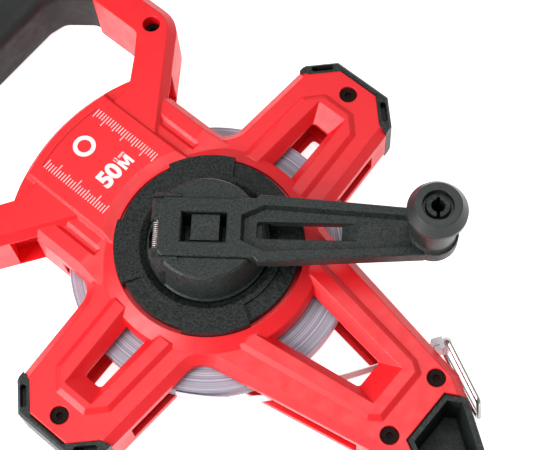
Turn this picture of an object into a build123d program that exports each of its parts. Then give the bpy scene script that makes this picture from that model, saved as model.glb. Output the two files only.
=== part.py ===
"""Open reel long tape: a 50 m tape on a geared drum in an X-shaped frame, with a folding crank.

The reel lies on its back. The origin is on the drum axis at the back face, +Z runs along the
drum axis towards the crank, +Y towards the carrying handle. All sizes are millimetres.
"""

from build123d import *
import math
import os

os.makedirs("parts", exist_ok=True)

# ---- levels along the drum axis ----
mid_z = 22.0  # where the two shells meet
skirt_z = 29.5  # inner edge of the front shell over the tape
window_z = 35.2  # lower edge of the sloping window walls
plateau_z = 40.0  # flat of the arms
ridge_z = 42.4  # raised border around the arm windows
strip_z = 42.5  # flats on both sides of the label panel
ring_z = 44.4  # top of the ring round the hub
body_z = 44.5  # neck and handle face
label_z = 46.0  # label panel
shell_wall = 3.0

# ---- outline of the frame ----
body_half = 62.0
body_start_y = 36.0
arm_end = 148.8
arm_half = 34.7
arm_root_half = 39.3
arm_corner = 14.6
foot_tip_y = -203.0
foot_tip_half = 5.5
corner_radius = 13.0
panel_radius = 125.5
riser_outer = 107.2
riser_inner = 82.5
bar_inner_y = 196.0
bar_outer_y = 224.0
hub_ring_radius = 67.0
edge_bevel = 5.2
neck_slope = math.radians(35)

# ---- tape and drum ----
tape_width = 13.0
coil_inner = 45.0
coil_outer = 88.0
coil_clearance = 3.0
axle_radius = 6.0
running = 0.05

# ---- gears: crank on the carrier, drum on the sun, ring held by the frame ----
gear_module = 1.8
sun_teeth = 18
planet_teeth = 9
ring_teeth = 36
pressure_angle = math.radians(28)
gear_bottom = 31.0
gear_top = 38.6
planet_radius = gear_module * (sun_teeth + planet_teeth) / 2

# ---- crank ----
crank_angle = -52.5
crank_length = 133.0
hinge_u = -28.6
hinge_z = 68.5
arm_bottom = 65.3
crank_bottom = 67.3
crank_top = 75.5
boss_top = 73.3
slot_floor = 67.0
base_half = 18.6
window_middle = -0.8  # the crank's window, along the crank
window_length = 26.5
window_width = 18.6
block_length = 16.6
block_width = 16.2
block_pit_depth = 15.0
spring_pit_floor = 46.0
spring_pit_start = -35.4
knob_top = 115.6

crank_plane = Plane.XY.rotated((0, 0, crank_angle))
hinge_plane = Plane(
    origin=crank_plane.from_local_coords((hinge_u, 0, hinge_z)),
    x_dir=crank_plane.x_dir,
    z_dir=-crank_plane.y_dir,
)


def finish(builder, name):
    """Label a finished piece and write it."""
    builder.part.label = name
    export_step(builder.part, f"parts/{name}.step")


def mirrored(points):
    """Close a right-hand outline with its own mirror image."""
    return points + [(-x, y) for x, y in reversed(points)]


def polygon(points):
    """Draw a closed outline in the sketch that is open."""
    Polygon(*points, align=None)


# ---------------------------------------------------------------- frame outlines

arm_points = [
    (body_half, 92.0),
    (body_half, arm_root_half),
    (arm_end - arm_corner, arm_half),
    (arm_end, arm_half - arm_corner),
    (arm_end, arm_corner - arm_half),
    (arm_end - arm_corner, -arm_half),
    (56.0, -arm_root_half),
    (34.5, -154.0),
    (33.0, -164.0),
    (24.5, -176.5),
    (foot_tip_half, foot_tip_y),
]
with BuildSketch() as arms_outline:
    polygon(mirrored(arm_points))
    inner_corners = [v for v in arms_outline.vertices() if 39 < abs(v.Y) < 40 and abs(v.X) < 70]
    fillet(inner_corners, corner_radius)

with BuildSketch() as body_outline:
    Circle(panel_radius)
    with Locations((0, body_start_y)):
        Rectangle(2 * body_half, 400, align=(Align.CENTER, Align.MIN), mode=Mode.INTERSECT)

neck_start = (38.0, 71.5)
neck_end_y = neck_start[1] + (riser_outer - neck_start[0]) * math.tan(neck_slope)
neck_points = [
    neck_start,
    (riser_outer, neck_end_y),
    (riser_outer, bar_outer_y - 30),
    (riser_outer - 30, bar_outer_y),
]
opening_points = [
    (50.0, 110.6),
    (69.3, 123.2),
    (81.4, 132.4),
    (riser_inner, 135.5),
    (riser_inner, bar_inner_y - 20),
    (riser_inner - 13, bar_inner_y - 3),
    (riser_inner - 24, bar_inner_y),
]
with BuildSketch() as handle_outline:
    polygon(mirrored(neck_points))
    top_bends = [v for v in handle_outline.vertices() if v.Y > 190]
    fillet(top_bends, 18)
    neck_bends = [v for v in handle_outline.vertices() if abs(v.Y - neck_end_y) < 0.01]
    fillet(neck_bends, 21)
with BuildSketch() as handle_opening:
    polygon(mirrored(opening_points))
    inner_bends = [v for v in handle_opening.vertices() if v.Y > 170]
    fillet(inner_bends, 9)

grip_wall = 6.0
grip_round = 8.0
with BuildSketch() as core_opening:
    offset(handle_opening.sketch, amount=grip_wall)
with BuildSketch() as bar_core:
    offset(handle_outline.sketch, amount=-grip_wall)
    add(core_opening.sketch, mode=Mode.SUBTRACT)
    with Locations((0, 160)):
        Rectangle(300, 100, align=(Align.CENTER, Align.MIN), mode=Mode.INTERSECT)

# the grip covers the bar above this slanting seam
seam_points = [(riser_inner - 3, 171.0), (riser_outer + 4, 187.0), (riser_outer + 4, 240.0)]
with BuildSketch() as grip_region:
    polygon(mirrored(seam_points))

bumper_points = [
    (arm_end - 20.8, arm_half + 1),
    (arm_end - 19.3, 28.5),
    (arm_end - 4.8, 14.0),
    (arm_end - 4.8, -14.0),
    (arm_end - 19.3, -28.5),
    (arm_end - 20.8, -arm_half - 1),
    (arm_end + 1, -arm_half - 1),
    (arm_end + 1, arm_half + 1),
]
with BuildSketch() as bumper_region:
    polygon(bumper_points)

pocket_points = [(18.0, -164.5), (24.5, -176.5), (34.0, -176.5), (34.0, foot_tip_y - 1)]
with BuildSketch() as pocket_region:
    polygon(mirrored(pocket_points))

# raised borders, listed anticlockwise
side_ridge = [(58, -24.8), (114, -21.8), (125, -11), (125, 11), (114, 21.8), (58, 24.8)]
other_side_ridge = [(-x, y) for x, y in reversed(side_ridge)]
foot_ridge = mirrored([(-37.2, -52), (-23.4, -140), (-18.2, -147.5)])
# windows: the rim on the ridge and the smaller hole below it, with its corners rounded
window_corner = 2.5
side_rim = [(58, 14.1), (118, 10.6), (118, -10.6), (58, -14.1)]
side_hole = [(58, 7.9), (106.5, 6.3), (106.5, -6.3), (58, -7.9)]
foot_rim = mirrored([(24.7, -58), (13.6, -137)])
foot_hole = mirrored([(19.0, -58), (9.7, -123.5)])
with BuildSketch() as side_collar:
    polygon(side_hole)
    offset(amount=3, kind=Kind.INTERSECTION)
with BuildSketch() as foot_collar:
    polygon(foot_hole)
    offset(amount=3, kind=Kind.INTERSECTION)

riser_screws = [(92.5, 129.5), (-92.5, 129.5)]
arm_screws = [(134, 0), (-134, 0), (22, -155.5), (-22, -155.5)]
screw_spots = riser_screws + arm_screws


# ---------------------------------------------------------------- shell shared by both halves

with BuildSketch() as arm_room:
    offset(arms_outline.sketch, amount=-2 * shell_wall - 0.5)
    with Locations((0, -15)):
        Rectangle(217, 221, mode=Mode.INTERSECT)

with BuildPart() as shell:
    # arms, foot and body as a plate with bevelled outer edges, hollow over the tape
    with BuildSketch(Plane.XY.offset(skirt_z)):
        add(arms_outline.sketch)
    extrude(amount=plateau_z - skirt_z)
    chamfer(shell.faces().sort_by(Axis.Z)[-1].outer_wire().edges(), edge_bevel)
    with BuildSketch(Plane.XY.offset(skirt_z)):
        offset(arms_outline.sketch, amount=-shell_wall)
    extrude(amount=2.5, mode=Mode.SUBTRACT)
    with BuildSketch(Plane.XY.offset(skirt_z)):
        add(arm_room.sketch)
    extrude(amount=plateau_z - shell_wall - skirt_z, mode=Mode.SUBTRACT)

    # raised borders round the windows
    for ridge in (side_ridge, other_side_ridge, foot_ridge):
        with BuildSketch(Plane.XY.offset(plateau_z)):
            polygon(ridge)
        extrude(amount=ridge_z - plateau_z, taper=53)

    # collars round the holes, then the windows with their sloping walls
    with BuildSketch(Plane.XY.offset(window_z - 1.5)):
        add(side_collar.sketch)
        add(mirror(side_collar.sketch, about=Plane.YZ))
        add(foot_collar.sketch)
    extrude(amount=plateau_z - shell_wall + 1.5 - window_z)
    for rim, hole in (
        (side_rim, side_hole),
        ([(-x, y) for x, y in side_rim], [(-x, y) for x, y in side_hole]),
        (foot_rim, foot_hole),
    ):
        with BuildPart(mode=Mode.PRIVATE) as window:
            with BuildSketch(Plane.XY.offset(ridge_z)):
                polygon(rim)
            with BuildSketch(Plane.XY.offset(window_z)):
                polygon(hole)
            loft(ruled=True)
            with BuildSketch(Plane.XY.offset(window_z)) as lower_hole:
                polygon(hole)
                fillet(lower_hole.vertices(), window_corner)
            extrude(amount=mid_z - window_z)
        add(window.part, mode=Mode.SUBTRACT)

    # closed ends of the arms and the foot, which carry the screws
    with BuildSketch(Plane.XY.offset(mid_z)):
        add(arms_outline.sketch)
        with Locations((0, -20)):
            Rectangle(226, 246, mode=Mode.SUBTRACT)
    extrude(amount=skirt_z + 1 - mid_z)

    # body with its side bevels and a groove down each side
    with BuildSketch(Plane.XY.offset(mid_z)):
        add(body_outline.sketch)
    extrude(amount=strip_z - mid_z)
    body_edges = shell.faces().sort_by(Axis.Z)[-1].outer_wire().edges()
    chamfer(body_edges.filter_by(Axis.Y), 4.5)
    # its lower end slopes down onto the arms
    with BuildSketch(Plane.YZ.offset(-body_half - 1)):
        polygon(
            [
                (body_start_y, plateau_z),
                (body_start_y + 18, strip_z),
                (body_start_y + 18, strip_z + 1),
                (body_start_y, strip_z + 1),
            ]
        )
    extrude(amount=2 * body_half + 2, mode=Mode.SUBTRACT)
    with BuildSketch(Plane.XY.offset(strip_z)):
        with Locations((45.5, 68), (-45.5, 68)):
            Rectangle(6.6, 36)
    extrude(amount=-1.8, taper=50, mode=Mode.SUBTRACT)

    # neck, risers and bar of the handle
    with BuildPart(mode=Mode.PRIVATE) as handle:
        with BuildSketch(Plane.XY.offset(mid_z)):
            add(handle_outline.sketch)
            add(handle_opening.sketch, mode=Mode.SUBTRACT)
        extrude(amount=body_z - mid_z)
        front = handle.faces().sort_by(Axis.Z)[-1]
        chamfer(front.outer_wire().edges(), edge_bevel)
    add(handle.part)

    # ring round the hub: a low cone that runs out over the arms
    with BuildSketch(Plane.XZ):
        polygon(
            [
                (0, skirt_z),
                (hub_ring_radius + 1.6, skirt_z),
                (hub_ring_radius + 1.6, window_z),
                (hub_ring_radius, plateau_z),
                (58, ring_z),
                (0, ring_z),
            ]
        )
    revolve(axis=Axis.Z)

    # hollows: room for the tape, the gears and the body
    with BuildSketch(Plane.XY.offset(mid_z)):
        Circle(coil_outer + coil_clearance)
    extrude(amount=skirt_z - mid_z, mode=Mode.SUBTRACT)
    with BuildSketch(Plane.XY.offset(skirt_z)):
        Circle(hub_ring_radius - shell_wall - 1)
    extrude(amount=10, mode=Mode.SUBTRACT)
    with BuildSketch(Plane.XY.offset(mid_z)):
        offset(body_outline.sketch, amount=-2 * shell_wall)
        Circle(hub_ring_radius - 4, mode=Mode.SUBTRACT)
    extrude(amount=strip_z - 4.5 - mid_z, mode=Mode.SUBTRACT)

    # open sides where the neck leaves the body
    with BuildPart(mode=Mode.PRIVATE) as side_opening:
        along = (math.cos(neck_slope), math.sin(neck_slope), 0)
        inward = (-math.sin(neck_slope), math.cos(neck_slope), 0)
        with BuildSketch(Plane(origin=(60.6, 86.1, mid_z), x_dir=along, z_dir=inward)):
            Rectangle(18.3, 2 * 16.8, align=(Align.MIN, Align.CENTER))
        extrude(amount=13)
    add(side_opening.part, mode=Mode.SUBTRACT)
    add(mirror(side_opening.part, about=Plane.YZ), mode=Mode.SUBTRACT)

    # seats for the bumpers, the foot pocket and the grip
    with BuildSketch(Plane.XY.offset(mid_z)):
        add(bumper_region.sketch)
        add(mirror(bumper_region.sketch, about=Plane.YZ))
        add(pocket_region.sketch)
    extrude(amount=30, mode=Mode.SUBTRACT)
    with BuildSketch(Plane.XY.offset(mid_z)):
        add(grip_region.sketch)
    extrude(amount=30, mode=Mode.SUBTRACT)
    # the bar's core runs on inside the grip
    with BuildSketch(Plane.XY.offset(mid_z)):
        add(bar_core.sketch)
    extrude(amount=body_z - grip_wall - mid_z)


# ---------------------------------------------------------------- front and rear frames

bezel_radius = 57.5
bezel_seat_z = 42.0
sleeve_outer = 44.0
sleeve_inner = 41.5
well_radius = 5.6

with BuildPart() as front_frame:
    add(shell.part)
    # label panel, which slopes down towards the hub
    with BuildSketch(Plane.XY.offset(strip_z)):
        Circle(panel_radius)
        with Locations((0, 40)):
            Rectangle(74, 200, align=(Align.CENTER, Align.MIN), mode=Mode.INTERSECT)
    extrude(amount=label_z - strip_z, taper=38)
    with BuildSketch(Plane.XZ):
        polygon([(50, ring_z), (60, ring_z), (66, label_z), (66, label_z + 3), (50, label_z + 3)])
    revolve(axis=Axis.Z, mode=Mode.SUBTRACT)
    # fine groove across the top of the panel
    with BuildSketch(Plane.XY.offset(label_z)):
        Circle(117.8)
        Circle(117.2, mode=Mode.SUBTRACT)
        Rectangle(50, 300, align=(Align.CENTER, Align.MIN), mode=Mode.INTERSECT)
    extrude(amount=-0.5, mode=Mode.SUBTRACT)
    # seat of the bezel and way through for its sleeve
    with BuildSketch(Plane.XY.offset(bezel_seat_z)):
        Circle(bezel_radius + 0.3)
    extrude(amount=10, mode=Mode.SUBTRACT)
    with BuildSketch(Plane.XY.offset(mid_z)):
        Circle(sleeve_outer)
    extrude(amount=40, mode=Mode.SUBTRACT)
    # screw wells
    with BuildSketch(Plane.XY.offset(mid_z + 5)):
        with Locations(*screw_spots):
            Circle(well_radius)
    extrude(amount=30, mode=Mode.SUBTRACT)
    with BuildSketch(Plane.XY.offset(mid_z)):
        with Locations(*screw_spots):
            Circle(2.2)
    extrude(amount=30, mode=Mode.SUBTRACT)
finish(front_frame, "front_frame")

with BuildPart() as rear_frame:
    add(mirror(shell.part, about=Plane.XY.offset(mid_z)))
    # closed back of the hub and boss for the axle
    with BuildSketch():
        Circle(hub_ring_radius - 2)
    extrude(amount=4)
    with BuildSketch():
        Circle(16)
    extrude(amount=14)
    with BuildSketch(Plane.XY.offset(-10)):
        Rectangle(600, 600)
    extrude(amount=10, mode=Mode.SUBTRACT)
    with BuildSketch(Plane.XY.offset(3)):
        Circle(axle_radius)
    extrude(amount=30, mode=Mode.SUBTRACT)
    with BuildSketch():
        Circle(11)
    extrude(amount=3, mode=Mode.SUBTRACT)
    # screw posts: blind holes for the thread
    with BuildSketch(Plane.XY.offset(mid_z - 9)):
        with Locations(*screw_spots):
            Circle(1.7)
    extrude(amount=9, mode=Mode.SUBTRACT)
finish(rear_frame, "rear_frame")


# ---------------------------------------------------------------- grip, bumpers, foot pocket

with BuildPart() as grip:
    with BuildSketch():
        add(handle_outline.sketch)
        add(handle_opening.sketch, mode=Mode.SUBTRACT)
    extrude(amount=body_z + 0.5)
    long_edges = grip.faces().sort_by(Axis.Z)[-1].edges() + grip.faces().sort_by(Axis.Z)[0].edges()
    fillet(long_edges.filter_by(lambda e: e.center().Y > 100), grip_round)
    with BuildSketch():
        add(grip_region.sketch)
    extrude(amount=body_z + 0.5, mode=Mode.INTERSECT)
    with BuildSketch(Plane.XY.offset(2 * mid_z - body_z + grip_wall)):
        add(bar_core.sketch)
    extrude(amount=2 * (body_z - grip_wall - mid_z), mode=Mode.SUBTRACT)
finish(grip, "grip")

bumper_bottom = 5.0
bumper_height = 34.0
slot_inset = arm_corner / 2 + 2.6
for side, bumper_name in ((1, "bumper_right"), (-1, "bumper_left")):
    with BuildPart() as bumper:
        with BuildSketch(Plane.XY.offset(bumper_bottom)):
            add(arms_outline.sketch)
            add(bumper_region.sketch, mode=Mode.INTERSECT)
        extrude(amount=bumper_height)
        chamfer(bumper.edges().filter_by(Plane.XY).filter_by(lambda e: e.center().X > 140), 1.6)
        with BuildSketch(Plane.XY.offset(bumper_bottom + bumper_height)):
            for turn in (1, -1):
                with Locations((arm_end - slot_inset, turn * (arm_half - slot_inset))):
                    SlotOverall(14, 3.6, rotation=-45 * turn)
        extrude(amount=-7, mode=Mode.SUBTRACT)
        if side < 0:
            mirror(about=Plane.YZ, mode=Mode.REPLACE)
    finish(bumper, bumper_name)

pocket_wall = 4.0
pocket_bottom = 5.0
pocket_top = 39.0
with BuildPart() as foot_pocket:
    with BuildSketch(Plane.XY.offset(pocket_bottom)) as pocket_outer:
        add(arms_outline.sketch)
        add(pocket_region.sketch, mode=Mode.INTERSECT)
    extrude(amount=pocket_top - pocket_bottom)
    chamfer(foot_pocket.faces().sort_by(Axis.Z)[-1].outer_wire().edges(), 1.0)
    with BuildSketch(Plane.XY.offset(pocket_top)):
        offset(pocket_outer.sketch, amount=-pocket_wall)
    extrude(amount=3 + pocket_bottom - pocket_top, taper=3, mode=Mode.SUBTRACT)
finish(foot_pocket, "foot_pocket")


# ---------------------------------------------------------------- bezel and gears

lobe_spread = 21.0
with BuildPart() as gear_bezel:
    with BuildSketch(Plane.XY.offset(bezel_seat_z)):
        Circle(bezel_radius - 2.2)
        Circle(sleeve_inner, mode=Mode.SUBTRACT)
    extrude(amount=6.2)
    with BuildSketch(Plane.XY.offset(gear_bottom)):
        Circle(sleeve_outer)
        Circle(sleeve_inner, mode=Mode.SUBTRACT)
    extrude(amount=bezel_seat_z - gear_bottom)
    # four lobes on the diagonals
    for middle in (45, 135, 225, 315):
        with BuildSketch(Plane.XY.offset(bezel_seat_z)):
            with BuildLine():
                outer_arc = CenterArc((0, 0), bezel_radius, middle - lobe_spread, 2 * lobe_spread)
                inner_arc = CenterArc((0, 0), 43, middle - lobe_spread - 3, 2 * lobe_spread + 6)
                Line(outer_arc @ 0, inner_arc @ 0)
                Line(outer_arc @ 1, inner_arc @ 1)
            make_face()
        extrude(amount=8.2)
    # inner rim that keeps the crank hub in
    with BuildSketch(Plane.XZ):
        polygon([(38.0, 46.0), (45.2, 46.0), (45.2, 50.2), (42.0, 50.2), (38.0, 48.0)])
    revolve(axis=Axis.Z)
finish(gear_bezel, "gear_bezel")


def involute(angle):
    return math.tan(angle) - angle


def tooth_points(teeth, low, high, slack):
    """One tooth of an involute gear, pointing along +X, as radius and angle pairs."""
    pitch = gear_module * teeth / 2
    base = pitch * math.cos(pressure_angle)
    half = math.pi / (2 * teeth) + involute(pressure_angle) - slack / pitch
    flank = []
    for step in range(4):
        radius = low + (high - low) * step / 3
        turn = math.acos(min(1.0, base / radius))
        flank.append((radius, half - involute(turn)))
    return [(r, -a) for r, a in flank] + [(r, a) for r, a in reversed(flank)]


def gear_outline(teeth, low, high, slack, turn):
    """All the teeth of a gear as one closed outline, with a tooth at the given turn."""
    points = []
    for index in range(teeth):
        middle = math.radians(turn) + 2 * math.pi * index / teeth
        for radius, angle in tooth_points(teeth, low, high, slack):
            points.append((radius * math.cos(middle + angle), radius * math.sin(middle + angle)))
    polygon(points)


addendum = 0.7 * gear_module
dedendum = 0.95 * gear_module
backlash = 0.12
sun_pitch = gear_module * sun_teeth / 2
planet_pitch = gear_module * planet_teeth / 2
ring_pitch = gear_module * ring_teeth / 2

with BuildPart() as ring_gear:
    with BuildSketch(Plane.XY.offset(gear_bottom)):
        Circle(sleeve_inner)
    extrude(amount=gear_top - gear_bottom)
    with BuildSketch(Plane.XY.offset(gear_bottom)):
        gear_outline(ring_teeth, ring_pitch - addendum, ring_pitch + dedendum, -backlash, 0)
    extrude(amount=gear_top - gear_bottom, mode=Mode.SUBTRACT)
finish(ring_gear, "ring_gear")

with BuildPart() as sun_gear:
    with BuildSketch(Plane.XY.offset(gear_bottom)):
        gear_outline(sun_teeth, sun_pitch - dedendum, sun_pitch + addendum, backlash, 0)
    extrude(amount=gear_top - gear_bottom)
    with BuildSketch(Plane.XY.offset(28.5)):
        Circle(12)
    extrude(amount=gear_bottom - 28.5)
    with BuildSketch(Plane.XY.offset(28)):
        Circle(axle_radius + running)
    extrude(amount=20, mode=Mode.SUBTRACT)
finish(sun_gear, "sun_gear")

pin_radius = 2.5
planet_angles = (0, 120, 240)
for number, angle in enumerate(planet_angles, 1):
    planet_x = planet_radius * math.cos(math.radians(angle))
    planet_y = planet_radius * math.sin(math.radians(angle))
    planet_plane = Plane(origin=(planet_x, planet_y, gear_bottom + 0.2), z_dir=(0, 0, 1))
    with BuildPart() as planet:
        with BuildSketch(planet_plane):
            gear_outline(planet_teeth, planet_pitch - dedendum, planet_pitch + addendum, backlash, angle)
            Circle(pin_radius + running, mode=Mode.SUBTRACT)
        extrude(amount=gear_top - gear_bottom - 0.4)
    finish(planet, f"planet_gear_{number}")

with BuildPart() as planet_pins:
    with BuildSketch(Plane.XY.offset(gear_bottom)):
        with PolarLocations(planet_radius, 3):
            Circle(pin_radius)
    extrude(amount=12.0)
finish(planet_pins, "planet_pins")


# ---------------------------------------------------------------- drum and tape

coil_bottom = mid_z - tape_width / 2
with BuildPart() as drum:
    with BuildSketch(Plane.XY.offset(coil_bottom)):
        Circle(coil_inner)
    extrude(amount=tape_width)
    with BuildSketch(Plane.XY.offset(mid_z + 2)):
        Circle(coil_inner - 3)
        Circle(12, mode=Mode.SUBTRACT)
    extrude(amount=20, mode=Mode.SUBTRACT)
    with BuildSketch(Plane.XY.offset(coil_bottom)):
        Circle(coil_inner - 3)
        Circle(17, mode=Mode.SUBTRACT)
    extrude(amount=4.5, mode=Mode.SUBTRACT)
    with BuildSketch(Plane.XY.offset(coil_bottom)):
        with PolarLocations(29, 6):
            Circle(7.5)
    extrude(amount=20, mode=Mode.SUBTRACT)
    with BuildSketch(Plane.XY.offset(coil_bottom)):
        Circle(axle_radius + 2)
    extrude(amount=20, mode=Mode.SUBTRACT)
finish(drum, "drum")

with BuildPart() as drum_bush:
    with BuildSketch(Plane.XY.offset(coil_bottom)):
        Circle(axle_radius + 2)
        Circle(axle_radius + running, mode=Mode.SUBTRACT)
    extrude(amount=tape_width)
finish(drum_bush, "drum_bush")

with BuildPart() as tape_coil:
    with BuildSketch(Plane.XY.offset(coil_bottom)):
        Circle(coil_outer)
        Circle(coil_inner, mode=Mode.SUBTRACT)
    extrude(amount=tape_width)
finish(tape_coil, "tape_coil")

with BuildPart() as axle:
    with BuildSketch(Plane.XY.offset(3)):
        Circle(axle_radius)
    extrude(amount=59)
    with BuildSketch(Plane.XY.offset(0.8)):
        Circle(10.6)
    extrude(amount=2.2)
finish(axle, "axle")

# the last stretch of tape leaves the coil in one arc and runs out through the side of the foot
lead_start = (-78.9, -40.2)
lead_bend_end = (-26.4, -98.4)
lead_exit = (38.8, -141.0)
lead_start_angle = -63.0
lead_slope = -33.2
exit_dir = (math.cos(math.radians(lead_slope)), math.sin(math.radians(lead_slope)))
lead_end = (lead_exit[0] + 3.2 * exit_dir[0], lead_exit[1] + 3.2 * exit_dir[1])
with BuildPart() as tape_lead:
    with BuildSketch(Plane.XY.offset(coil_bottom)):
        with BuildLine():
            bend = TangentArc(
                lead_start,
                lead_bend_end,
                tangent=(math.cos(math.radians(lead_start_angle)), math.sin(math.radians(lead_start_angle))),
            )
            Line(bend @ 1, lead_end)
            offset(amount=0.3, kind=Kind.INTERSECTION)
        make_face()
    extrude(amount=tape_width)
finish(tape_lead, "tape_lead")


# ---------------------------------------------------------------- tape end: clamp and ring

pivot_reach = 8.4
ring_pivot = (lead_exit[0] + pivot_reach * exit_dir[0], lead_exit[1] + pivot_reach * exit_dir[1])
wire_radius = 1.6
ring_length = 41.0
ring_slant = 5.0  # the ring's lower side is this much longer
ring_width = 26.0
ring_angle = -116.0

clamp_plane = Plane(origin=(lead_exit[0], lead_exit[1], mid_z), x_dir=(*exit_dir, 0), z_dir=(0, 0, 1))
with BuildPart() as tape_clamp:
    with BuildSketch(clamp_plane.offset(-tape_width / 2 - 1)):
        with Locations((3.7, 1.1)):
            Rectangle(6.6, 7.4)
        with Locations((pivot_reach, 0)):
            Circle(3.2)
            Circle(wire_radius + 0.06, mode=Mode.SUBTRACT)
        with Locations((1.0, 0)):
            Rectangle(6.0, 0.6, mode=Mode.SUBTRACT)
    extrude(amount=tape_width + 2)
finish(tape_clamp, "tape_clamp")

# the ring lies in the plane through its pivot bar, along Z, and its own length
ring_plane = Plane(
    origin=(ring_pivot[0], ring_pivot[1], mid_z),
    x_dir=(math.cos(math.radians(ring_angle)), math.sin(math.radians(ring_angle)), 0),
    z_dir=(-math.sin(math.radians(ring_angle)), math.cos(math.radians(ring_angle)), 0),
)
with BuildPart() as end_ring:
    with BuildLine(ring_plane) as ring_path:
        half = ring_width / 2
        FilletPolyline(
            (0, half),
            (ring_length + ring_slant, half - 2),
            (ring_length, 2 - half),
            (0, -half),
            radius=3.2,
            close=True,
        )
    with BuildSketch(Plane(origin=ring_path.line @ 0, z_dir=ring_path.line % 0)):
        Circle(wire_radius)
    sweep(path=ring_path.line)
finish(end_ring, "end_ring")

with BuildPart() as tape_guides:
    guide_x = -12.5
    with BuildSketch(clamp_plane.offset(skirt_z - mid_z - 15)):
        for side in (1, -1):
            with Locations((guide_x, side * 3.4)):
                Circle(2.6)
    extrude(amount=15)
finish(tape_guides, "tape_guides")


# ---------------------------------------------------------------- crank hub

hub_flange = 41.0
hub_flange_z = 41.0
lip_z = 45.5
boss_base = 37.2
boss_radius = 31.4
spring_middle = 4.0
spring_length = 17.5
with BuildPart() as crank_hub:
    with BuildSketch(Plane.XZ):
        polygon(
            [
                (0, gear_top + 1.0),
                (10, gear_top + 1.0),
                (30, hub_flange_z),
                (hub_flange, hub_flange_z),
                (hub_flange, lip_z),
                (boss_base, lip_z),
                (boss_base, 49.0),
                (boss_base - 1.2, 50.0),
                (boss_radius + 0.8, boss_top - 1.2),
                (boss_radius - 0.4, boss_top),
                (0, boss_top),
            ]
        )
    revolve(axis=Axis.Z)
    # housings on both sides of the hinge, which hold its pin
    with BuildPart(mode=Mode.PRIVATE) as housings:
        housing_start = Plane(
            origin=crank_plane.from_local_coords((-33, 0, 0)),
            x_dir=crank_plane.y_dir,
            z_dir=crank_plane.x_dir,
        )
        with BuildSketch(housing_start):
            polygon(mirrored([(28.5, lip_z), (27, 50), (25, 64), (21.6, boss_top), (20.5, 74.5)]))
        extrude(amount=18)
        with BuildSketch(Plane.XY.offset(lip_z)):
            Circle(boss_base)
        extrude(amount=40, mode=Mode.INTERSECT)
    add(housings.part)
    # slot across the boss that the crank's base drops into
    with BuildSketch(crank_plane.offset(slot_floor)):
        Rectangle(100, 2 * base_half + 0.8)
    extrude(amount=20, mode=Mode.SUBTRACT)
    # square block that the crank's window fits over
    with BuildSketch(crank_plane.offset(slot_floor - 0.1)):
        Rectangle(block_length, block_width)
    extrude(amount=boss_top - slot_floor + 0.6)
    # deep recess round the block, as wide as the crank's window
    with BuildSketch(crank_plane.offset(slot_floor)):
        with Locations((window_middle, 0)):
            Rectangle(window_length, window_width)
        Rectangle(block_length, block_width, mode=Mode.SUBTRACT)
    extrude(amount=-block_pit_depth, mode=Mode.SUBTRACT)
    # cut away beyond the hinge
    with BuildSketch(crank_plane.offset(60)):
        with Locations((-33.0, 0)):
            Rectangle(30, 90, align=(Align.MAX, Align.CENTER))
    extrude(amount=30, mode=Mode.SUBTRACT)
    # room for the crank's knuckles and the spring
    with BuildSketch(hinge_plane.offset(-base_half - 0.4)):
        Circle(5.0)
        with Locations((-5, 0)):
            Rectangle(10, 20)
    extrude(amount=2 * base_half + 0.8, mode=Mode.SUBTRACT)
    # pit that the spring is seen in
    with BuildSketch(crank_plane.offset(spring_pit_floor)):
        with Locations((spring_pit_start, -spring_middle)):
            Rectangle(9, spring_length + 0.8, align=(Align.MIN, Align.CENTER))
    extrude(amount=20, mode=Mode.SUBTRACT)
    # bores: hinge pin, axle and planet pins
    with BuildSketch(hinge_plane.offset(-40)):
        Circle(1.5)
    extrude(amount=80, mode=Mode.SUBTRACT)
    with BuildSketch(Plane.XY.offset(30)):
        Circle(axle_radius + running)
    extrude(amount=33, mode=Mode.SUBTRACT)
    with BuildSketch(Plane.XY.offset(30)):
        with PolarLocations(planet_radius, 3):
            Circle(pin_radius)
    extrude(amount=13, mode=Mode.SUBTRACT)
finish(crank_hub, "crank_hub")

with BuildPart() as hinge_pin:
    with BuildSketch(hinge_plane.offset(-base_half - 3.6)):
        Circle(1.5)
    extrude(amount=2 * base_half + 7.2)
finish(hinge_pin, "hinge_pin")

with BuildPart() as crank_spring:
    with BuildSketch(hinge_plane.offset(spring_middle - spring_length / 2)):
        Circle(2.9)
        Circle(1.5, mode=Mode.SUBTRACT)
    extrude(amount=spring_length)
finish(crank_spring, "crank_spring")


# ---------------------------------------------------------------- crank arm and knob

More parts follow.
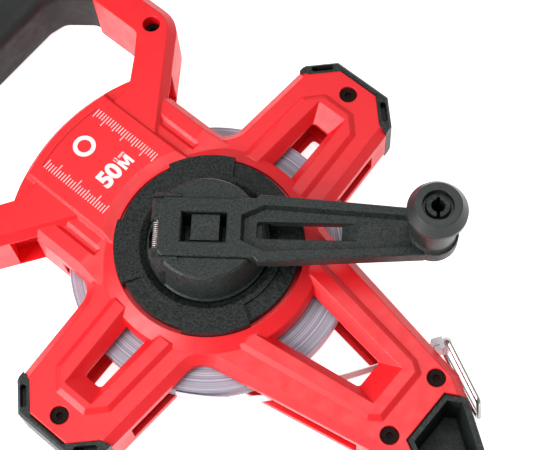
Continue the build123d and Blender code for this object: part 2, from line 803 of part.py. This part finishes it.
recess_depth = 4.4
end_radius = 14.7
arm_start = 31.5
arm_start_half = 21.2
arm_finish_half = 14.3
post_radius = 6.5
with BuildPart() as crank_arm:
    with BuildSketch(crank_plane.offset(crank_bottom)):
        polygon(
            [
                (-27.3, -base_half + 2.5),
                (-24.8, -base_half),
                (29, -base_half),
                (arm_start, -arm_start_half),
                (crank_length - 5, -arm_finish_half),
                (crank_length - 5, arm_finish_half),
                (arm_start, arm_start_half),
                (29, base_half),
                (-24.8, base_half),
                (-27.3, base_half - 2.5),
            ]
        )
        with Locations((crank_length, 0)):
            Circle(end_radius)
    extrude(amount=crank_top - crank_bottom)
    chamfer(crank_arm.faces().sort_by(Axis.Z)[-1].outer_wire().edges(), 0.8)
    # the arm is deeper than its base
    with BuildSketch(crank_plane.offset(arm_bottom)):
        polygon([(37.5, -20.6), (128, -arm_finish_half), (128, arm_finish_half), (37.5, 20.6)])
        with Locations((crank_length, 0)):
            Circle(end_radius)
    extrude(amount=crank_bottom - arm_bottom)
    # window over the drive block
    with BuildSketch(crank_plane.offset(crank_bottom)):
        with Locations((window_middle, 0)):
            Rectangle(window_length, window_width)
    extrude(amount=20, mode=Mode.SUBTRACT)
    window_bevel = 0.8
    with BuildSketch(crank_plane.offset(crank_top)):
        with Locations((window_middle, 0)):
            Rectangle(window_length + 2 * window_bevel, window_width + 2 * window_bevel)
    extrude(amount=-window_bevel, taper=45, mode=Mode.SUBTRACT)
    # long recess with a hexagonal start, and the slot through its floor
    with BuildSketch(crank_plane.offset(crank_top)):
        polygon([(21, -8), (35, -14.6), (121, -9.6), (121, 9.6), (35, 14.6), (21, 8)])
        with Locations((crank_length, 0)):
            Circle(end_radius - 0.5, mode=Mode.SUBTRACT)
    extrude(amount=-recess_depth, taper=20, mode=Mode.SUBTRACT)
    with BuildSketch(crank_plane.offset(arm_bottom)):
        with Locations((55, 0)):
            RectangleRounded(50, 10.8, 1.6)
    extrude(amount=20, mode=Mode.SUBTRACT)
    recess_floor = crank_top - recess_depth + 0.1
    with BuildSketch(Plane(origin=crank_plane.origin, x_dir=crank_plane.x_dir, z_dir=-crank_plane.y_dir)):
        polygon([(78, recess_floor), (89, recess_floor), (80, arm_bottom), (78, arm_bottom)])
    extrude(amount=5.4, both=True, mode=Mode.SUBTRACT)
    # hollow under the base for the spring
    with BuildSketch(hinge_plane.offset(-base_half + 13.4)):
        Circle(3.3)
        with Locations((-3, -1.5)):
            Rectangle(6, 6)
    extrude(amount=18.2, mode=Mode.SUBTRACT)
    # knuckles round the hinge pin
    for start, length in ((-base_half, base_half - 5.2), (base_half - 5.6, 5.6)):
        with BuildSketch(hinge_plane.offset(start)):
            Circle(4.2)
            with Locations((3.2, 1.5)):
                Rectangle(6.4, 5.4)
        extrude(amount=length)
    with BuildSketch(hinge_plane.offset(-40)):
        Circle(1.5 + running)
    extrude(amount=80, mode=Mode.SUBTRACT)
    # split snap post for the knob, its foot flared onto the arm
    with BuildSketch(crank_plane.offset(crank_top - 0.1)):
        with Locations((crank_length, 0)):
            Circle(13.6)
    extrude(amount=3.1, taper=30)
    with BuildSketch(crank_plane.offset(crank_top)):
        with Locations((crank_length, 0)):
            Circle(post_radius)
    extrude(amount=knob_top - 4.2 - crank_top)
    with BuildSketch(crank_plane.offset(knob_top - 4.2)):
        with Locations((crank_length, 0)):
            Circle(post_radius + 0.9)
    extrude(amount=3.0, taper=14)
    with BuildSketch(crank_plane.offset(crank_top + 12)):
        with Locations((crank_length, 0)):
            Circle(4.0)
            Rectangle(1.9, 20)
    extrude(amount=50, mode=Mode.SUBTRACT)
finish(crank_arm, "crank_arm")

knob_radius = 17.4
knob_neck = 13.1
knob_bottom = crank_top + 3.4
knob_plane = Plane(
    origin=crank_plane.from_local_coords((crank_length, 0, 0)),
    x_dir=crank_plane.x_dir,
    z_dir=-crank_plane.y_dir,
)
with BuildPart() as knob:
    with BuildSketch(knob_plane):
        polygon(
            [
                (post_radius + running, knob_bottom),
                (knob_neck, knob_bottom),
                (knob_neck, knob_top - 14.5),
                (knob_radius, knob_top - 10.5),
                (knob_radius, knob_top - 7.2),
                (13.4, knob_top),
                (8.9, knob_top),
                (8.9, knob_top - 4.6),
                (post_radius + running, knob_top - 4.6),
            ]
        )
    revolve(axis=Axis(knob_plane.origin, (0, 0, 1)))
finish(knob, "knob")


# ---------------------------------------------------------------- fasteners

head_top = {"risers": 35.5, "arms": 38.4}
with BuildPart() as frame_screws:
    for spots, top in ((riser_screws, head_top["risers"]), (arm_screws, head_top["arms"])):
        with BuildSketch(Plane.XY.offset(mid_z + 5)):
            with Locations(*spots):
                Circle(well_radius - 0.4)
        extrude(amount=top - mid_z - 5)
        with BuildSketch(Plane.XY.offset(top)):
            with Locations(*spots):
                RegularPolygon(2.4, 6)
        extrude(amount=-2.0, mode=Mode.SUBTRACT)
    with BuildSketch(Plane.XY.offset(mid_z - 8.5)):
        with Locations(*screw_spots):
            Circle(1.7)
    extrude(amount=13.5)
finish(frame_screws, "frame_screws")

for piece in sorted(os.listdir("parts")):
    print(piece)
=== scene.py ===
"""Open reel long tape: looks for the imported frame, in metres, in the frame's own axes."""
import math
import random

import bmesh
import bpy
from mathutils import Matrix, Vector


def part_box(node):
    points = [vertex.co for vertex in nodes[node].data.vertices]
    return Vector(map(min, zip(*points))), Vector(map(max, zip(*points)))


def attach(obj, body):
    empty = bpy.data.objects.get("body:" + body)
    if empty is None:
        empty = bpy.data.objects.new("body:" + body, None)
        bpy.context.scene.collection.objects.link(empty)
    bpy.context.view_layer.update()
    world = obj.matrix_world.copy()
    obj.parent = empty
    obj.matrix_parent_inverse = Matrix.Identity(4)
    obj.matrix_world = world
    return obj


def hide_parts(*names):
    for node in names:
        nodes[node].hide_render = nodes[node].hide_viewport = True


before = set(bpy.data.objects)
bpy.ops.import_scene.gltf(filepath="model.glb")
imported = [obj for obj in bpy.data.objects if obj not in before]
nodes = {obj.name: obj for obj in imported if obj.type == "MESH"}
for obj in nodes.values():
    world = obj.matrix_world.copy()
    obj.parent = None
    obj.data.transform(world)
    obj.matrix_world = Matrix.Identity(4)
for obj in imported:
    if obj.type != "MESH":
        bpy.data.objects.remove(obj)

random.seed(7)
MM = 0.001
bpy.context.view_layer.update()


# ---------------------------------------------------------------- camera, light and floor

camera_place = (-0.19435, -0.25356, 0.84114)
camera_turn_deg = (22.140, 2.184, -50.146)

scene = bpy.context.scene
scene.view_settings.view_transform = "Standard"

camera = bpy.data.objects.new("camera", bpy.data.cameras.new("camera"))
scene.collection.objects.link(camera)
scene.camera = camera
camera.data.sensor_width = 36
camera.data.lens = 92.97
camera.data.clip_start = 0.05
camera.location = camera_place
camera.rotation_euler = [math.radians(turn) for turn in camera_turn_deg]

# the studio is brighter near the horizon than overhead
horizon_height, overhead_height = 0.05, 0.85
horizon_strength, overhead_strength = 0.6, 0.28

world = bpy.data.worlds.new("studio")
scene.world = world
world.use_nodes = True
sky = world.node_tree
direction = sky.nodes.new("ShaderNodeTexCoord").outputs["Generated"]
split = sky.nodes.new("ShaderNodeSeparateXYZ")
strength = sky.nodes.new("ShaderNodeMapRange")
strength.inputs["From Min"].default_value = horizon_height
strength.inputs["From Max"].default_value = overhead_height
strength.inputs["To Min"].default_value = horizon_strength
strength.inputs["To Max"].default_value = overhead_strength
sky.links.new(direction, split.inputs["Vector"])
sky.links.new(split.outputs["Z"], strength.inputs["Value"])
sky.links.new(strength.outputs["Result"], sky.nodes["Background"].inputs["Strength"])
sky.nodes["Background"].inputs["Color"].default_value = (1.0, 1.0, 1.0, 1)


def soft_light(name, place, size, watts):
    """A square area light that looks at the middle of the reel."""
    lamp = bpy.data.lights.new(name, "AREA")
    lamp.size = size
    lamp.energy = watts
    lamp_object = bpy.data.objects.new(name, lamp)
    scene.collection.objects.link(lamp_object)
    lamp_object.location = place
    lamp_object.rotation_euler = (-Vector(place)).to_track_quat("-Z", "Y").to_euler()


soft_light("key", (-1.0, 0.35, 0.85), 0.75, 18)
soft_light("top", (0.17, 0.08, 1.35), 0.7, 6)
soft_light("side", (-1.3, 0.4, 0.3), 0.6, 5)


# ---------------------------------------------------------------- materials

class Paint:
    """A Principled material with the few node chains that every finish here is made of."""

    def __init__(self, name, color, roughness, **sockets):
        self.material = bpy.data.materials.new(name)
        self.material.use_nodes = True
        self.tree = self.material.node_tree
        self.shader = self.tree.nodes["Principled BSDF"]
        self.shader.inputs["Base Color"].default_value = (*color, 1)
        self.shader.inputs["Roughness"].default_value = roughness
        for socket, value in sockets.items():
            self.shader.inputs[socket.replace("_", " ")].default_value = value
        self.place = self.tree.nodes.new("ShaderNodeTexCoord").outputs["Object"]
        self.normal = None

    def noise(self, size, detail=2.0, stretch=(1, 1, 1)):
        """Noise whose lumps are about size across, in metres."""
        mapping = self.tree.nodes.new("ShaderNodeMapping")
        mapping.inputs["Scale"].default_value = [s / size for s in stretch]
        texture = self.tree.nodes.new("ShaderNodeTexNoise")
        texture.inputs["Scale"].default_value = 1.0
        texture.inputs["Detail"].default_value = detail
        self.tree.links.new(self.place, mapping.inputs["Vector"])
        self.tree.links.new(mapping.outputs["Vector"], texture.inputs["Vector"])
        return texture.outputs["Fac"]

    def rings(self, size):
        """Noise that changes only with the distance from the drum's axis."""
        flat = self.tree.nodes.new("ShaderNodeVectorMath")
        flat.operation = "MULTIPLY"
        flat.inputs[1].default_value = (1, 1, 0)
        length = self.tree.nodes.new("ShaderNodeVectorMath")
        length.operation = "LENGTH"
        texture = self.tree.nodes.new("ShaderNodeTexNoise")
        texture.noise_dimensions = "1D"
        texture.inputs["Scale"].default_value = 1 / size
        texture.inputs["Detail"].default_value = 3
        self.tree.links.new(self.place, flat.inputs[0])
        self.tree.links.new(flat.outputs["Vector"], length.inputs[0])
        self.tree.links.new(length.outputs["Value"], texture.inputs["W"])
        return texture.outputs["Fac"]

    def ramp(self, value, low, high, start=0.3, end=0.7):
        """Map the values from start to end onto the range from low to high."""
        node = self.tree.nodes.new("ShaderNodeMapRange")
        node.inputs["From Min"].default_value = start
        node.inputs["From Max"].default_value = end
        node.inputs["To Min"].default_value = low
        node.inputs["To Max"].default_value = high
        self.tree.links.new(value, node.inputs["Value"])
        return node.outputs["Result"]

    def vary_color(self, value, first, second, start=0.3, end=0.7):
        """Go from the first colour to the second as the value goes from start to end."""
        node = self.tree.nodes.new("ShaderNodeMix")
        node.data_type = "RGBA"
        node.inputs["A"].default_value = (*first, 1)
        node.inputs["B"].default_value = (*second, 1)
        self.tree.links.new(self.ramp(value, 0, 1, start, end), node.inputs["Factor"])
        self.tree.links.new(node.outputs["Result"], self.shader.inputs["Base Color"])

    def vary_roughness(self, value, low, high):
        """Let the roughness go between two numbers."""
        self.tree.links.new(self.ramp(value, low, high), self.shader.inputs["Roughness"])

    def soften(self, radius):
        """Shade edges as if they were rounded to this radius, in metres, under the next bump."""
        node = self.tree.nodes.new("ShaderNodeBevel")
        node.samples = 6
        node.inputs["Radius"].default_value = radius
        self.normal = node.outputs["Normal"]

    def bump(self, value, height):
        """Bump of the given height, in metres."""
        node = self.tree.nodes.new("ShaderNodeBump")
        node.inputs["Strength"].default_value = 1.0
        node.inputs["Distance"].default_value = height
        self.tree.links.new(value, node.inputs["Height"])
        if self.normal:
            self.tree.links.new(self.normal, node.inputs["Normal"])
        self.tree.links.new(node.outputs["Normal"], self.shader.inputs["Normal"])


red = Paint("red_abs", (0.82, 0.008, 0.014), 0.42)
red.vary_color(red.noise(0.03), (0.83, 0.0075, 0.013), (0.79, 0.009, 0.016))
red.vary_roughness(red.noise(0.008), 0.34, 0.44)
red.soften(0.0011)
red.bump(red.noise(0.0006, 3), 0.00003)

black = Paint("black_moulded", (0.015, 0.0205, 0.019), 0.42, Specular_IOR_Level=0.3)
black.vary_color(black.noise(0.0012, 4), (0.0075, 0.0105, 0.0098), (0.028, 0.036, 0.0335), 0.38, 0.62)
black.vary_roughness(black.noise(0.005), 0.36, 0.48)
black.soften(0.0006)
black.bump(black.noise(0.001, 4), 0.00028)

coarse_black = Paint("black_grained", (0.008, 0.011, 0.010), 0.42, Specular_IOR_Level=0.26)
coarse_black.vary_color(coarse_black.noise(0.0014, 4), (0.002, 0.003, 0.0027), (0.018, 0.024, 0.022),
                        0.4, 0.6)
coarse_black.vary_roughness(coarse_black.noise(0.004), 0.36, 0.48)
coarse_black.soften(0.0007)
coarse_black.bump(coarse_black.noise(0.0014, 4), 0.0005)

smooth_black = Paint("black_smooth", (0.017, 0.021, 0.020), 0.34, Specular_IOR_Level=0.38)
smooth_black.vary_color(smooth_black.noise(0.004), (0.015, 0.0185, 0.0175), (0.019, 0.0235, 0.0225))
smooth_black.vary_roughness(smooth_black.noise(0.005), 0.3, 0.38)
smooth_black.soften(0.0008)
smooth_black.bump(smooth_black.noise(0.0006, 3), 0.00003)

rubber = Paint("grip_rubber", (0.018, 0.020, 0.0195), 0.62, Specular_IOR_Level=0.3)
rubber.vary_color(rubber.noise(0.01), (0.016, 0.018, 0.0175), (0.022, 0.024, 0.0235))
rubber.vary_roughness(rubber.noise(0.006), 0.56, 0.7)
rubber.soften(0.0012)
rubber.bump(rubber.noise(0.0008, 4), 0.00009)

tape = Paint("tape_coated", (0.44, 0.44, 0.53), 0.5, Specular_IOR_Level=0.3)
tape.vary_color(tape.rings(0.0011), (0.30, 0.30, 0.38), (0.60, 0.59, 0.68), 0.38, 0.62)
tape.bump(tape.noise(0.0005), 0.00002)

tape_face = Paint("tape_face", (0.72, 0.71, 0.76), 0.45)
tape_face.vary_color(tape_face.noise(0.006), (0.68, 0.67, 0.72), (0.76, 0.75, 0.80))
tape_face.bump(tape_face.noise(0.0005), 0.00002)

acetal = Paint("gear_acetal", (0.72, 0.70, 0.64), 0.4)
acetal.vary_color(acetal.noise(0.01), (0.74, 0.72, 0.66), (0.68, 0.66, 0.6))
acetal.vary_roughness(acetal.noise(0.004), 0.34, 0.46)

steel = Paint("turned_steel", (0.55, 0.55, 0.56), 0.3, Metallic=1.0)
steel.vary_roughness(steel.noise(0.001, stretch=(1, 1, 12)), 0.22, 0.4)

spring_steel = Paint("oiled_spring_steel", (0.30, 0.28, 0.26), 0.34, Metallic=1.0)
spring_steel.vary_roughness(spring_steel.noise(0.001), 0.28, 0.42)

dark_cap = Paint("black_oxide_cap", (0.014, 0.005, 0.004), 0.5, Specular_IOR_Level=0.08)
dark_cap.vary_roughness(dark_cap.noise(0.002), 0.42, 0.58)
dark_cap.bump(dark_cap.noise(0.0006, 3), 0.00005)

bronze = Paint("sintered_bronze", (0.6, 0.4, 0.2), 0.5, Metallic=1.0)
bronze.bump(bronze.noise(0.0004), 0.00003)

chrome = Paint("chrome_plate", (0.47, 0.46, 0.44), 0.2, Metallic=1.0)
chrome.vary_roughness(chrome.noise(0.006), 0.17, 0.23)

pale_plastic = Paint("pale_plastic", (0.58, 0.57, 0.62), 0.28)
pale_plastic.vary_color(pale_plastic.noise(0.01), (0.61, 0.59, 0.65), (0.52, 0.53, 0.55))
pale_plastic.vary_roughness(pale_plastic.noise(0.004), 0.24, 0.34)

white_print = Paint("white_print", (0.88, 0.80, 0.80), 0.5)
white_print.vary_roughness(white_print.noise(0.002), 0.45, 0.55)

ruler_ink = Paint("ruler_ink", (0.88, 0.60, 0.60), 0.5)
ruler_ink.vary_roughness(ruler_ink.noise(0.002), 0.45, 0.55)

floor_paint = Paint("floor_paper", (0.93, 0.93, 0.93), 0.9,
                    Emission_Color=(1, 1, 1, 1), Emission_Strength=0.85)
floor_paint.vary_roughness(floor_paint.noise(0.05), 0.85, 0.95)

finishes = {
    "front_frame": red, "rear_frame": red, "tape_guides": red, "grip": rubber, "bumper_right": black,
    "bumper_left": black, "foot_pocket": black, "gear_bezel": coarse_black, "crank_hub": black,
    "crank_arm": black, "knob": smooth_black, "ring_gear": acetal, "drum": acetal, "sun_gear": acetal,
    "planet_gear_1": acetal, "planet_gear_2": acetal, "planet_gear_3": acetal, "axle": steel,
    "planet_pins": steel, "hinge_pin": steel, "crank_spring": spring_steel, "frame_screws": dark_cap,
    "drum_bush": bronze, "tape_coil": tape, "tape_lead": tape_face, "tape_clamp": pale_plastic,
    "end_ring": chrome,
}
for name, paint in finishes.items():
    node = nodes[name]
    node.data.materials.clear()
    node.data.materials.append(paint.material)

# how far a moulded edge is broken, in millimetres
edge_rounding = {
    "front_frame": 0.6, "rear_frame": 0.6, "bumper_right": 0.5, "bumper_left": 0.5, "foot_pocket": 0.5,
    "gear_bezel": 0.35, "crank_hub": 0.35, "crank_arm": 0.35, "knob": 0.35, "grip": 1.2,
}
sharp_edge_deg = 28
for name, width in edge_rounding.items():
    bevel = nodes[name].modifiers.new("edges", "BEVEL")
    bevel.width = width * MM
    bevel.segments = 2
    bevel.limit_method = "ANGLE"
    bevel.angle_limit = math.radians(sharp_edge_deg)
    bevel.harden_normals = True
    bevel.use_clamp_overlap = True


# ---------------------------------------------------------------- helpers for pieces in mesh code

def add_piece(name, mesh, paint, body, slot, *stands_for):
    """Put a mesh in the scene with its paint, fix it to a body and hide the parts it stands for."""
    mesh.materials.clear()
    mesh.materials.append(paint.material)
    piece = bpy.data.objects.new(name, mesh)
    scene.collection.objects.link(piece)
    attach(piece, body)
    if stands_for:
        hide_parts(*stands_for)
    return piece


def finished_mesh(name, build):
    """Turn a bmesh into a mesh of this name."""
    mesh = bpy.data.meshes.new(name)
    build.to_mesh(mesh)
    build.free()
    return mesh


def add_walls(build, lower, higher):
    """Faces between two closed rings of points with the same number of points."""
    for index in range(len(lower)):
        following = (index + 1) % len(lower)
        build.faces.new((lower[index], lower[following], higher[following], higher[index]))


def swept(name, rings):
    """Skin a mesh over a list of rings of points and close both ends."""
    build = bmesh.new()
    rows = [[build.verts.new(point) for point in ring] for ring in rings]
    for before, after in zip(rows, rows[1:]):
        add_walls(build, before, after)
    build.faces.new(rows[0])
    build.faces.new(list(reversed(rows[-1])))
    bmesh.ops.recalc_face_normals(build, faces=build.faces)
    return finished_mesh(name, build)


# ---------------------------------------------------------------- wound tape

# one long strip in a flat spiral, whose edges rise and drop a little as it winds on
coil_low, coil_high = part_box("tape_coil")
core_radius = 45 * MM
coil_radius = coil_high[0]
tape_thickness = 0.47 * MM
turns = 68
steps_per_turn = 120
start_angle = math.radians(207)
steps_per_wander = 21
widest_wander = 0.4 * MM
wander_pull = 0.12
pitch = (coil_radius - core_radius - 2 * tape_thickness) / turns

spiral = []
top_dip = bottom_rise = 0.0
top_goal = bottom_goal = 0.0
for step in range(turns * steps_per_turn + 1):
    if step % steps_per_wander == 0:
        top_goal = random.uniform(0.0, widest_wander)
        bottom_goal = random.uniform(0.0, widest_wander)
    top_dip += (top_goal - top_dip) * wander_pull
    bottom_rise += (bottom_goal - bottom_rise) * wander_pull
    angle = 2 * math.pi * step / steps_per_turn + start_angle
    radius = core_radius + tape_thickness / 2 + pitch * step / steps_per_turn
    outward = Vector((math.cos(angle), math.sin(angle), 0))
    inner = outward * (radius - tape_thickness / 2)
    outer = outward * (radius + tape_thickness / 2)
    low = coil_low[2] + bottom_rise
    high = coil_high[2] - top_dip
    spiral.append([
        (inner.x, inner.y, low), (outer.x, outer.y, low), (outer.x, outer.y, high), (inner.x, inner.y, high),
    ])
add_piece("wound_tape", swept("wound_tape", spiral), tape, "drum_body", "tape", "tape_coil")


# ---------------------------------------------------------------- torsion spring on the crank's hinge pin

crank_angle = math.radians(-52.5)
along_crank = Vector((math.cos(crank_angle), math.sin(crank_angle), 0))
along_pin = Vector((-math.sin(crank_angle), math.cos(crank_angle), 0))
up = Vector((0, 0, 1))
pin_middle = along_crank * (-28.6 * MM) + up * (68.5 * MM)
wire_radius = 0.6 * MM
wire_sides = 8
winding_radius = 2.25 * MM
spring_start, spring_end = -12.6 * MM, 4.6 * MM
spring_turns = 13
spring_steps = 24

path = []
for step in range(spring_turns * spring_steps + 1):
    angle = 2 * math.pi * step / spring_steps
    along = spring_start + (spring_end - spring_start) * step / (spring_turns * spring_steps)
    outward = along_crank * math.cos(angle) + up * math.sin(angle)
    path.append(pin_middle + along_pin * along + outward * winding_radius)

wire_turns = [math.tau * k / wire_sides for k in range(wire_sides)]
wire_rings = []
for before, here, after in zip([path[0]] + path, path, path[1:] + [path[-1]]):
    tangent = (after - before).normalized()
    side = tangent.cross(along_pin).normalized()
    other = tangent.cross(side)
    wire_rings.append([here + (side * math.cos(turn) + other * math.sin(turn)) * wire_radius
                       for turn in wire_turns])
spring = add_piece("torsion_spring", swept("torsion_spring", wire_rings), spring_steel, "crank_hub_body",
                   "steel", "crank_spring")
for polygon in spring.data.polygons:
    polygon.use_smooth = True


# ---------------------------------------------------------------- print on the label panel

panel_height = 46 * MM
print_low = panel_height - 0.03 * MM
print_high = panel_height + 0.05 * MM


def add_outline(build, outline):
    """A thin printed shape from its outline, in millimetres."""
    rows = [[build.verts.new((x * MM, y * MM, z)) for x, y in outline] for z in (print_low, print_high)]
    add_walls(build, rows[0], rows[1])
    build.faces.new(list(reversed(rows[0])))
    build.faces.new(rows[1])


def add_print(name, mesh, ink):
    """Printed matter rides on the red shell."""
    add_piece(name, mesh, ink, "frame", "red_shell")


# the two rulers, with a long tick in the middle of each group of eight and a middling one at its start
first_tick, tick_step, tick_count = 64.2, 2.05, 25
tick_half_width = 0.3
tick_outer, short_inner, middling_inner, long_inner = 25.6, 20.6, 19.2, 17.4

ruler = bmesh.new()
for side in (1, -1):
    for index in range(tick_count):
        y = first_tick + tick_step * index
        inner = short_inner
        if index % 8 == 4:
            inner = long_inner
        elif index % 8 == 0:
            inner = middling_inner
        x0, x1 = sorted((side * inner, side * tick_outer))
        y0, y1 = y - tick_half_width, y + tick_half_width
        add_outline(ruler, [(x0, y0), (x1, y0), (x1, y1), (x0, y1)])
add_print("ruler_print", finished_mesh("ruler_print", ruler), ruler_ink)


def add_words(name, words, x0, x1, y0, y1, weight):
    """Words as thin raised print, fitted to a box in millimetres."""
    curve = bpy.data.curves.new(name, "FONT")
    curve.body = words
    curve.size = 1.0
    curve.offset = weight
    curve.extrude = 0.01
    holder = bpy.data.objects.new(name + "_curve", curve)
    mesh = bpy.data.meshes.new_from_object(holder)
    bpy.data.objects.remove(holder)
    xs = [vertex.co.x for vertex in mesh.vertices]
    ys = [vertex.co.y for vertex in mesh.vertices]
    for vertex in mesh.vertices:
        x = x0 + (x1 - x0) * (vertex.co.x - min(xs)) / (max(xs) - min(xs))
        y = y0 + (y1 - y0) * (vertex.co.y - min(ys)) / (max(ys) - min(ys))
        vertex.co = (x * MM, y * MM, print_high if vertex.co.z > 0 else print_low)
    add_print(name, mesh, white_print)


add_words("length_digits", "50", -11.6, 3.6, 72.0, 84.0, 0.045)
add_words("tape_width", "13 mm", 4.8, 13.0, 80.7, 83.3, 0.01)

# the unit of the tape's length, a capital M drawn in a unit square and scaled to its box
unit_left, unit_bottom, unit_width, unit_height = 4.9, 72.1, 8.1, 7.9
letter = [
    (0, 0), (0.23, 0), (0.23, 0.6), (0.41, 0.12), (0.59, 0.12), (0.77, 0.6), (0.77, 0),
    (1, 0), (1, 1), (0.7, 1), (0.5, 0.46), (0.3, 1), (0, 1),
]
unit = bmesh.new()
add_outline(unit, [(unit_left + unit_width * x, unit_bottom + unit_height * y) for x, y in letter])
add_print("length_unit", finished_mesh("length_unit", unit), white_print)

# a plain ring, as a sign for a reel
sign_middle_x, sign_middle_y = 0.8, 103.5
sign_outer, sign_inner = 7.2, 4.4
sign_sides = 64

sign = bmesh.new()
loops = []
for radius, z in ((sign_inner, print_low), (sign_outer, print_low),
                  (sign_outer, print_high), (sign_inner, print_high)):
    loop = []
    for k in range(sign_sides):
        turn = math.tau * k / sign_sides
        x = sign_middle_x + radius * math.cos(turn)
        y = sign_middle_y + radius * math.sin(turn)
        loop.append(sign.verts.new((x * MM, y * MM, z)))
    loops.append(loop)
for lower, higher in zip(loops, loops[1:] + loops[:1]):
    add_walls(sign, lower, higher)
bmesh.ops.recalc_face_normals(sign, faces=sign.faces)
add_print("reel_sign", finished_mesh("reel_sign", sign), white_print)


# ---------------------------------------------------------------- floor

floor_reach = 3.0
floor_corners = [(-floor_reach, -floor_reach, 0), (floor_reach, -floor_reach, 0),
                 (floor_reach, floor_reach, 0), (-floor_reach, floor_reach, 0)]
floor_mesh = bpy.data.meshes.new("floor")
floor_mesh.from_pydata(floor_corners, [], [(0, 1, 2, 3)])
floor_mesh.materials.append(floor_paint.material)
floor = bpy.data.objects.new("floor", floor_mesh)
scene.collection.objects.link(floor)
